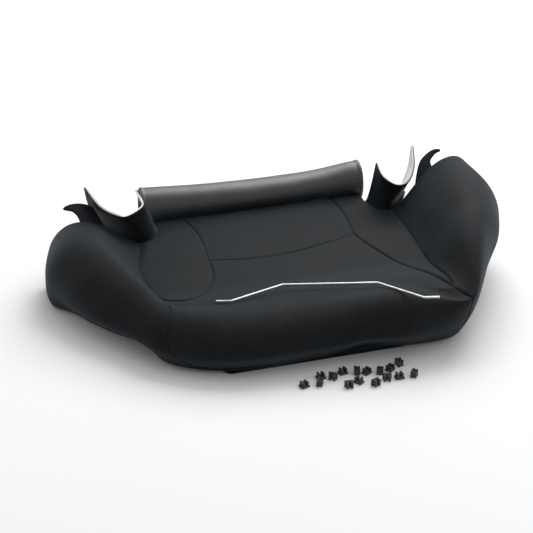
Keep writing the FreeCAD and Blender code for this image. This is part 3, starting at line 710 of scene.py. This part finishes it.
# Edges of a hook tab from its sewn edge to its tip: ratio along the rim's section, distance back.
HOOK_FAR = {-1: [(0.23, 0), (0.26, 16), (0.29, 30), (0.35, 34), (0.41, 35), (0.455, 34)],
            1: [(0.15, 0), (0.19, 13), (0.23, 23), (0.28, 25), (0.325, 24), (0.36, 19)]}
HOOK_NEAR = {-1: [(0.38, 0), (0.385, 8), (0.395, 16), (0.415, 23), (0.44, 27), (0.465, 32)],
             1: [(0.28, 0), (0.28, 6), (0.283, 11), (0.295, 14), (0.325, 17), (0.358, 17)]}
HOOK_RISE = 0.45                    # how steeply a tab rises towards the back
HOOK_SKIN = 4.0
HOOK_TUCK, HOOK_SINK = 5.0, 1.2     # how far a tab starts under the bolster, and how much lower
HOOK_FADE = 8                       # distance back over which both of them fade
HOOK_LONG, HOOK_WIDE = 58, 22


def hook_point(side, u, v):
    """u runs from the tip to the sewn edge (on the right the other way), v outwards."""
    back = 1 - u if side < 0 else u
    far, near = along(HOOK_FAR[side], back), along(HOOK_NEAR[side], back)
    ratio, behind = [a + (b - a) * v for a, b in zip(far, near)]
    x, y, z = rim_point(place_on(side, 0), ratio)
    fade = math.exp(-behind / HOOK_FADE)
    return (x, y + behind - HOOK_TUCK * fade, z + HOOK_RISE * behind - HOOK_SINK * fade)


def hook_tabs():
    """Curved tabs of the bolster cloth, which stand out behind its cut rear edge."""
    for side, name in ((-1, "left"), (1, "right")):
        places = marks(HOOK_LONG, step=3), marks(HOOK_WIDE, step=2.5)
        grid = np.array([[hook_point(side, u, v) for v in places[1]] for u in places[0]])
        lifted = dressed(grid, (False,) * 4, hills=0.4, seed=20 + side)
        inner = grid - normals(grid) * HOOK_SKIN
        item = shell(name + "_hook_tab_cloth", lifted, inner, CLOTH_FACE, CLOTH_BACK)
        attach(item, "cover")
        keep_piece(name + "_hook_tab", grid)


UNDER_SKIN, UNDER_CORNER = 3.0, 12
UNDER_GAP, UNDER_RISE, UNDER_WAVE = 0.4, 1.2, 0.5  # how it lies: clear of the floor, and wavy


def under_flap():
    """Cloth flap that lies on the floor under the front hem."""
    low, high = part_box("front_under_flap")
    half, depth = high.x / MM, (high.y - low.y) / MM - 2 * TWIST * high.x / MM
    front = low.y / MM + TWIST * half

    def point(u, v):
        """u runs from left to right and v from the back edge to the front edge."""
        x = half * (2 * u - 1)
        bevel = UNDER_CORNER * max(0, 1 - (half - abs(x)) / UNDER_CORNER) ** 2
        y = front + bevel + (depth - bevel) * (1 - v) + TWIST * x
        lift = UNDER_RISE * (1 - v) ** 2 + UNDER_WAVE * math.sin(x / 19.0) * (1 - v)
        return (x, y, UNDER_SKIN + UNDER_GAP + lift)
    grid = grid_of(point, marks(262), marks(44))
    lifted = dressed(grid, (False,) * 4, hills=0.3, seed=31)
    inner = grid - normals(grid) * UNDER_SKIN
    item = shell("front_under_flap_cloth", lifted, inner, CLOTH_FACE, CLOTH_BACK)
    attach(item, "cover")
    keep_piece("front_under_flap", grid)


# ---------------------------------------------------------------- the vinyl flap

FLAP_SKIN = 2.0
FLAP_HALF, FLAP_MIDDLE, FLAP_SEAM = 176.5, 2.5, 375.0  # half its width, its middle, its seam's y
FLAP_RADIUS, FLAP_UP, FLAP_END = 30, 43, -25  # of its curl: radius, height, angle at the free edge
FLAP_TOP = [(6,), (1,), (-2,), (-4,), (-4,), (-1,), (5,)]   # how its top line sags, left to right
FLAP_HEM = 7.0                      # width of the hem at each end
FLAP_TUCK = 0.05                    # share of its length that lies below the seam


def rear_flap():
    """Sheet that rises from the rear seam and curls over to the back."""
    seat_z = SEAT_UP - CLOTH / 2
    centre_up = FLAP_UP - FLAP_RADIUS
    centre_back = math.sqrt(FLAP_RADIUS ** 2 - centre_up ** 2)
    start = 180 + math.degrees(math.asin(centre_up / FLAP_RADIUS))

    def point(u, v):
        """u runs from left to right and v from the free edge over the top to the seam."""
        x = FLAP_MIDDLE + FLAP_HALF * (2 * u - 1)
        angle = math.radians(FLAP_END + (start - FLAP_END) * v)
        top = along(FLAP_TOP, u)[0] * max(0, math.sin(angle)) ** 2
        reach = FLAP_RADIUS + top
        return (x, FLAP_SEAM + centre_back + reach * math.cos(angle),
                (seat_z + centre_up + reach * math.sin(angle)) + SEAT_UP * SLUMP * x)
    grid = grid_of(point, marks(2 * FLAP_HALF, step=6), marks(127, 0, 1 + FLAP_TUCK, step=4))
    left_end, right_end, _, _ = edge_distances(grid)
    end = np.minimum(left_end, right_end)
    hem = 0.7 * smooth((FLAP_HEM - end) / 1.5) - 0.5 * np.exp(-((end - FLAP_HEM) / 1.0) ** 2)
    lifted = dressed(grid, (False,) * 4, hills=1.1, seed=40)
    lifted = lifted + normals(grid) * hem[..., None]
    item = shell("rear_flap_vinyl", lifted, grid - normals(grid) * FLAP_SKIN, VINYL, CLOTH_BACK)
    sew_to_cover(item)
    keep_piece("rear_flap", grid)


# ---------------------------------------------------------------- tongues

# Rows of points from the outer edge round the front to the inner edge: foot, waist, mouth.
TONGUES = {
    -1: ([(-224, 346, 66), (-210, 322, 57), (-194, 308, 53),
          (-178, 308, 53), (-164, 323, 53), (-159, 347, 53)],
         [(-236, 348, 98), (-224, 316, 86), (-207, 299, 78),
          (-189, 297, 75), (-171, 316, 78), (-168, 349, 85)],
         [(-264, 350, 129), (-248, 308, 113), (-226, 289, 104),
          (-207, 288, 102), (-179, 311, 109), (-184, 353, 118)]),
    1: ([(226, 344, 82), (216, 320, 76), (204, 305, 71),
         (192, 306, 69), (181, 324, 68), (178, 354, 68)],
        [(238, 346, 116), (226, 314, 102), (210, 298, 91),
         (197, 299, 88), (186, 318, 90), (182, 346, 97)],
        [(251, 350, 152), (242, 316, 131), (226, 293, 115),
         (205, 290, 112), (186, 306, 122), (187, 342, 132)]),
}
TONGUE_FACE, TONGUE_FOAM = 1.6, 3.2
TONGUE_ROUND, TONGUE_DOWN = 190, 85  # about how far one runs round and down
RIM_WIDTH, RIM_DEPTH = 1.4, 0.7     # how the foam's cut rim is rounded
FOAM_SHORT = 4                      # rows of points by which the foam stops short of the root
WING = {-1: 23.0, 1: 9.0}           # how far the outer wing flares out at its waist
FOOT_SPREAD, FOOT_DROP = 5.0, 3.0   # how far the sewn foot reaches out and under the panels


def tongue_root(foot):
    """The foot's row again, spread so that it tucks in under the panels around it."""
    middle = np.mean([(foot[0][0], foot[0][1]), (foot[-1][0], foot[-1][1])], axis=0)
    root = []
    for x, y, z in foot:
        away = np.array([x, y]) - middle
        away = away / max(np.linalg.norm(away), 1e-6) * FOOT_SPREAD
        root.append((x + away[0], y + away[1], z - FOOT_DROP))
    return root


def flared(row, shift):
    """A row whose outer edge is moved sideways, and the points after it less and less."""
    return [(x + shift * max(0, 1 - number / 2), y + abs(shift) / 3 * (number == 0), z)
            for number, (x, y, z) in enumerate(row)]


def tongues():
    for side, name in ((-1, "left"), (1, "right")):
        foot, waist, mouth = TONGUES[side]
        foot, waist = [flared(row, side * WING[side]) for row in (foot, waist)]
        rows = (mouth, waist, foot, tongue_root(foot))

        def point(u, v, side=side, rows=rows):
            back = u if side < 0 else 1 - u
            return tuple(along([along(row, back) for row in rows], v))
        grid = grid_of(point, marks(TONGUE_ROUND, step=4), marks(TONGUE_DOWN, step=4))
        body = name + "_tongue"
        lifted = dressed(grid, (False,) * 4, hills=0.6, seed=50 + side)
        inner = grid - normals(grid) * TONGUE_FACE
        face = shell(body + "_cloth", lifted, inner, CLOTH_FACE, CLOTH_BACK)
        from_top = (grid - normals(grid) * (TONGUE_FACE + 0.05))[:, :-FOAM_SHORT]
        rim = dive_all(from_top, RIM_WIDTH, RIM_DEPTH)
        rounded = from_top - normals(from_top) * rim[..., None]
        deep = from_top - normals(from_top) * TONGUE_FOAM
        backing = shell(body + "_foam", rounded, deep, FOAM, FOAM)
        base, waist_up = min(p[2] for p in foot) - FOOT_DROP, min(p[2] for p in waist)
        for piece in (face, backing):
            sew_to_cover(piece)
        keep_piece(body + "_face", grid)
        keep_piece(body + "_backing", from_top)


def dive_all(grid, width, depth):
    return sum(dive(distance, width, depth) for distance in edge_distances(grid))


# ---------------------------------------------------------------- hardware

def refinish(label, material):
    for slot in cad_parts[label].material_slots:
        slot.material = material


def hardware():
    steel, sleeve = drawn_steel(), sleeve_cloth()
    black = plastic("retainer_plastic", (0.03, 0.03, 0.03), 0.55)
    clip = plastic("clip_plastic", (0.018, 0.018, 0.018), 0.5)
    for label in ("loose_wire", "transverse_wire", "left_wire", "right_wire"):
        refinish(label, steel)
    for label in ("transverse_sleeve", "left_sleeve", "right_sleeve"):
        refinish(label, sleeve)
    for label in ("front", "left", "right"):
        refinish(label + "_hem_retainer", black)
    refinish("rear_flap_retainer", black)
    refinish("trim_clips", clip)


# ---------------------------------------------------------------- stage

def floor():
    bpy.ops.mesh.primitive_plane_add(size=14, location=(0, 2.0, -0.0004))
    plane = bpy.context.object
    plane.name = "floor"
    plane.data.materials.append(floor_paint())


def area_light(name, place, target, size, energy):
    data = bpy.data.lights.new(name, "AREA")
    data.shape = "SQUARE"
    data.size = size
    data.energy = energy
    item = bpy.data.objects.new(name, data)
    bpy.context.scene.collection.objects.link(item)
    item.location = place
    item.rotation_euler = (Vector(target) - Vector(place)).to_track_quat("-Z", "Y").to_euler()


def lights():
    """A large softbox behind and to the right, in a white room that is dimmer to the left."""
    area_light("top_softbox", (0.9, 1.5, 1.8), (0, 0.15, 0), 1.7, 50)
    world = bpy.data.worlds.new("room")
    bpy.context.scene.world = world
    world.use_nodes = True
    tree = world.node_tree
    bright_side = {0: coordinates(tree, "Generated"), 1: (0.75, 0.35, 0.56)}
    towards = node(tree, "VectorMath", bright_side, operation="DOT_PRODUCT").outputs["Value"]
    glow = node(tree, "MapRange", {"Value": towards, "From Min": -0.6, "From Max": 0.6,
                                   "To Min": 0.45, "To Max": 0.8}).outputs["Result"]
    tree.links.new(glow, tree.nodes["Background"].inputs["Strength"])
    tree.nodes["Background"].inputs["Color"].default_value = (1, 1, 1, 1)
    bpy.context.scene.view_settings.view_transform = "Standard"


def camera():
    """Seen from the front, a little from the left and from above."""
    turn, rise, distance = math.radians(13.5), math.radians(25), 1.762
    target = Vector((-0.033, 0.150, 0.065))
    back = Vector((-math.sin(turn) * math.cos(rise), -math.cos(turn) * math.cos(rise),
                   math.sin(rise)))
    data = bpy.data.cameras.new("camera")
    data.lens = 85
    data.sensor_width = 36
    item = bpy.data.objects.new("camera", data)
    bpy.context.scene.collection.objects.link(item)
    item.location = target + back * distance
    item.rotation_euler = (-back).to_track_quat("-Z", "Y").to_euler()
    bpy.context.scene.camera = item


camera()
lights()
floor()
cover_panels()
hook_tabs()
under_flap()
rear_flap()
tongues()
hardware()
